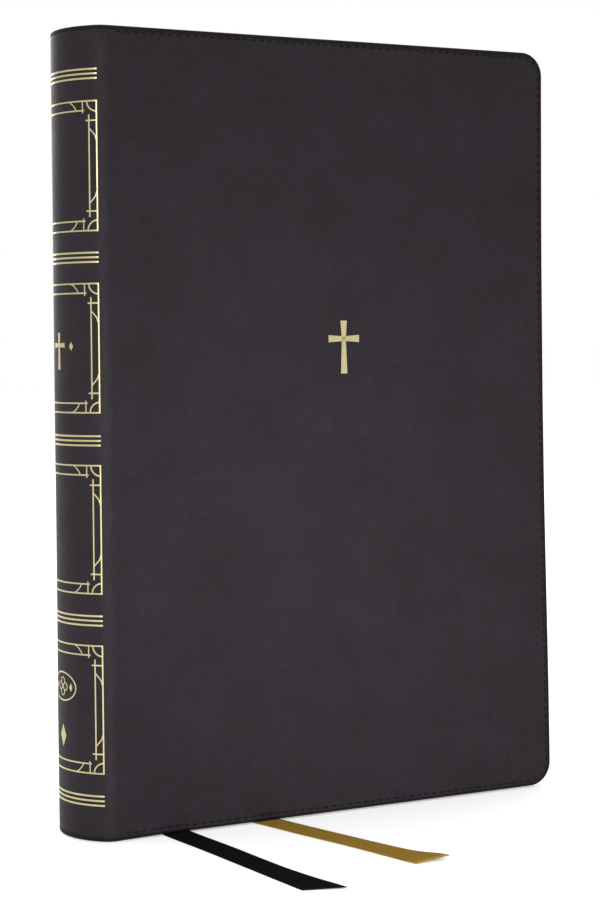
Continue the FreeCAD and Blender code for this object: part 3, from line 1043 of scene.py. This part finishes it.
def on_back(reach, turn, z):
    """Point at a distance from the axis that the text block's back is rounded about."""
    return BACK_CENTRE_X - reach * math.cos(turn), reach * math.sin(turn), z


def build_bands():
    """Silk wound round a core at the head and tail of the back, with a skirt glued below it."""
    wraps = 44
    steps = wraps * 6
    half = BAND_HIGH.y
    skirt_depth = 3.1
    bead = 0.8
    radius = BACK_RADIUS - 0.85 + bead
    for name, top in (("headband", True), ("tailband", False)):
        batch = Batch()
        low, high = box(name)
        crown = high.z - bead if top else low.z + bead
        down = -1 if top else 1
        rings, places = [], []
        for k in range(steps + 1):
            along = -half + 2 * half * k / steps
            swell = 1 - 0.16 * abs(math.cos(math.pi * k / 6)) ** 3
            swell *= 0.55 if k in (0, steps) else 1.0
            ring, laid = [], []
            for a in (2 * math.pi * n / 12 for n in range(12)):
                reach = radius + bead * swell * math.cos(a)
                ring.append(on_back(reach, along / radius, crown + bead * swell * math.sin(a)))
                laid.append((k / 6, a, 0))
            rings.append(ring)
            places.append(laid)
        batch.tube(rings, places)
        rings, places = [], []
        inner, outer = BACK_RADIUS + 0.47, BACK_RADIUS + 0.73
        foot = crown + down * skirt_depth
        section = ((inner, crown), (outer, crown), (outer, foot), (inner, foot))
        for along in spread(-half, half, 1.0):
            rings.append([on_back(reach, along / radius, z) for reach, z in section])
            places.append([(along, 0, 0)] * 4)
        batch.tube(rings, places)
        finish_piece(batch.piece(name + "_silk", BAND_SILK), "root", "headband_silk", name)


# Ribbons


def route_line(name, route):
    """Points, in metres, of the smooth line that has the route as its control points."""
    curve = bpy.data.curves.new(name, "CURVE")
    curve.dimensions = "3D"
    curve.resolution_u = 16
    spline = curve.splines.new("NURBS")
    spline.points.add(len(route) - 1)
    for knot, place in zip(spline.points, route):
        knot.co = (*(Vector(place) * MM), 1.0)
    spline.order_u = 3
    spline.use_endpoint_u = True
    helper = bpy.data.objects.new(name, curve)
    line = bpy.data.meshes.new_from_object(helper)
    points = [v.co.copy() for v in line.vertices]
    bpy.data.objects.remove(helper)
    bpy.data.curves.remove(curve)
    bpy.data.meshes.remove(line)
    return points


def ribbon_sections(line, sideways, cut=0.0, flare=0.0, rising=0.0):
    """Sections of a ribbon along a line in millimetres: two faces and two thicker selvedges.

    The end is slanted by the cut, flares a little wider, and rises towards its longer corner.
    """
    reaches = [-1.0, -0.955, -0.9, -0.6, -0.3, 0.0, 0.3, 0.6, 0.9, 0.955, 1.0]
    lengths = [0.0]
    for a, b in zip(line, line[1:]):
        lengths.append(lengths[-1] + (b - a).length)
    total = lengths[-1]
    rings, places = [], []
    for k, here in enumerate(line):
        ahead = line[min(k + 1, len(line) - 1)] - line[max(k - 1, 0)]
        ahead.normalize()
        side = (sideways - ahead * sideways.dot(ahead)).normalized()
        up = side.cross(ahead).normalized()
        if up.z < 0:
            up = -up
        lag = math.tan(cut) * smooth_step(lengths[k], total - 14, total)
        curl = rising * smooth_step(lengths[k], total - 22, total) ** 2
        half = RIBBON_WIDTH / 2 * (1 + flare * smooth_step(lengths[k], total - 35, total))
        ring, laid = [], []
        for face in (1, -1):
            for reach in reaches[::face]:
                edge = abs(reach) > 0.93
                thick = RIBBON / 2 * (1.25 if abs(reach) == 0.955 else 0.8 if edge else 0.9)
                cup = curl * (reach + 1) / 2
                point = here + side * reach * half + ahead * lag * (reach - 1) * half
                ring.append(tuple(point + up * (face * thick + cup)))
                laid.append((reach * half, lengths[k], 0))
        rings.append(ring)
        places.append(laid)
    return rings, places


def build_tail(colour, route, length, material, **end):
    """Free end of a ribbon, lying on what the book stands on."""
    line = route_line(colour + "_route", route)
    batch = Batch()
    batch.tube(*ribbon_sections([p / MM for p in line], Vector((1, 0, 0)), **end))
    piece = batch.piece(colour + "_ribbon", material)
    finish_piece(piece, "root", colour + "_satin", colour + "_ribbon_tail")


def build_run(colour, route, material):
    """Hidden part of a ribbon, pressed flat between the two middle signatures."""
    low, high = box(colour + "_ribbon_run")
    half = RIBBON_WIDTH / 2
    y = (low.y + high.y) / 2
    top = Vector((low.x + half, y, high.z))
    bottom = Vector((route[0][0], y, low.z))
    line = [top.lerp(bottom, t) for t in spread(0, 1, 0.03)]
    batch = Batch()
    batch.tube(*ribbon_sections(line, Vector((1, 0, 0))))
    piece = batch.piece(colour + "_ribbon_inside", material)
    finish_piece(piece, "root", colour + "_satin", colour + "_ribbon_run")


def build_ribbons():
    build_tail("black", BLACK_ROUTE, BLACK_LENGTH, BLACK_SATIN, cut=math.radians(27), flare=0.2, rising=0.3)
    build_tail("gold", GOLD_ROUTE, GOLD_LENGTH, GOLD_SATIN, cut=math.radians(15), flare=0.18, rising=1.2)
    build_run("black", BLACK_ROUTE, BLACK_SATIN)
    build_run("gold", GOLD_ROUTE, GOLD_SATIN)


# CAD pieces that stay as they are and get their finish here


def finish_cad_pieces():
    board = rigid("cover_board", (0.34, 0.31, 0.27), (0.46, 0.43, 0.38), 1.2, 0.05)
    kraft = rigid("lining_paper", (0.36, 0.25, 0.14), (0.52, 0.39, 0.25), 0.9, 0.03)
    linen = rigid("sewing_thread", (0.72, 0.68, 0.58), (0.90, 0.87, 0.80), 3.0, 0.08)
    finishes = [(board, "front_cover_board", "back_cover_board", "spine_inlay")]
    finishes += [(kraft, "hollow_tube", "spine_lining"), (mull_cloth(), "mull"), (linen, "sewing_thread")]
    for material, *nodes in finishes:
        for node in nodes:
            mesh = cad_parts[node].data
            mesh.materials.clear()
            mesh.materials.append(material)


# Floor, light and camera


def build_stage():
    """Plain pale floor under the book, and white surroundings."""
    floor_mesh = bpy.data.meshes.new("floor")
    corners = [(x, y, -0.0001) for x, y in arc_path((0, 0), 6.0, 0, 360, 64)[:-1]]
    floor_mesh.from_pydata(corners, [], [list(range(len(corners)))])
    floor = bpy.data.objects.new("floor", floor_mesh)
    bpy.context.scene.collection.objects.link(floor)
    paint = Paint("floor", Roughness=0.9, Specular_IOR_Level=0.1, Emission_Strength=0.32)
    paint.colour((0.76, 0.76, 0.76))
    floor_mesh.materials.append(paint.material)
    world = bpy.data.worlds.new("studio")
    world.use_nodes = True
    world.node_tree.nodes["Background"].inputs["Color"].default_value = (1.0, 1.0, 1.0, 1)
    bpy.context.scene.world = world
    bpy.context.scene.view_settings.view_transform = "Standard"


def lamp(kind, name, place, target, power, **settings):
    """A lamp at a place, pointed at its target."""
    data = bpy.data.lights.new(name, kind)
    data.energy = power
    for key, value in settings.items():
        setattr(data, key, value)
    made = bpy.data.objects.new(name, data)
    made.location = place
    made.rotation_euler = (Vector(target) - Vector(place)).to_track_quat("-Z", "Y").to_euler()
    bpy.context.scene.collection.objects.link(made)


def build_lights():
    """Two soft spots in front, a fill on the spine's side, and broad lights behind and above."""
    middle = (0, 0, 0.12)
    spot = {"shadow_soft_size": 0.1, "spot_size": math.radians(11.5), "spot_blend": 1.0}
    lamp("SPOT", "key_low", (-0.35, -1.25, 0.10), (0.0, 0, 0.05), 63, **spot)
    lamp("SPOT", "key_high", (-0.35, -1.25, 0.14), (-0.01, 0, 0.12), 34, **spot)
    lamp("AREA", "side_fill", (-0.75, -0.95, 0.42), (-0.07, 0, 0.18), 7, size=0.35)
    lamp("AREA", "back_fill", (0.0, 1.6, 0.6), middle, 10, size=0.8)
    lamp("AREA", "top", (0.3, 0.6, 1.6), middle, 12, size=1.6)


CAMERA_PLACE = (-0.33174, -0.59952, 0.14676)
CAMERA_YAW = math.radians(-28.924)
CAMERA_PITCH = math.radians(0.386)
CAMERA_ROLL = math.radians(0.616)
CAMERA_LENS = 86.36
CAMERA_SHIFT = (0.00066, -0.10325)


def build_camera():
    data = bpy.data.cameras.new("camera")
    data.sensor_width = 36
    data.lens = CAMERA_LENS
    data.shift_x, data.shift_y = CAMERA_SHIFT
    camera = bpy.data.objects.new("camera", data)
    level = math.cos(CAMERA_PITCH)
    ahead = Vector((-math.sin(CAMERA_YAW) * level, math.cos(CAMERA_YAW) * level, -math.sin(CAMERA_PITCH)))
    right = Vector((math.cos(CAMERA_YAW), math.sin(CAMERA_YAW), 0))
    up = right.cross(ahead)
    axes = Matrix((right, up, -ahead)).transposed().to_4x4()
    camera.matrix_world = Matrix.Translation(CAMERA_PLACE) @ axes @ Matrix.Rotation(-CAMERA_ROLL, 4, "Z")
    bpy.context.scene.collection.objects.link(camera)
    bpy.context.scene.camera = camera


build_camera()
build_lights()
build_stage()
build_ribbons()
build_leather()
build_stitching()
build_spine_foil()
build_emblems()
build_signatures()
build_flyleaves()
build_pastedowns()
build_bands()
finish_cad_pieces()

bpy.context.view_layer.update()
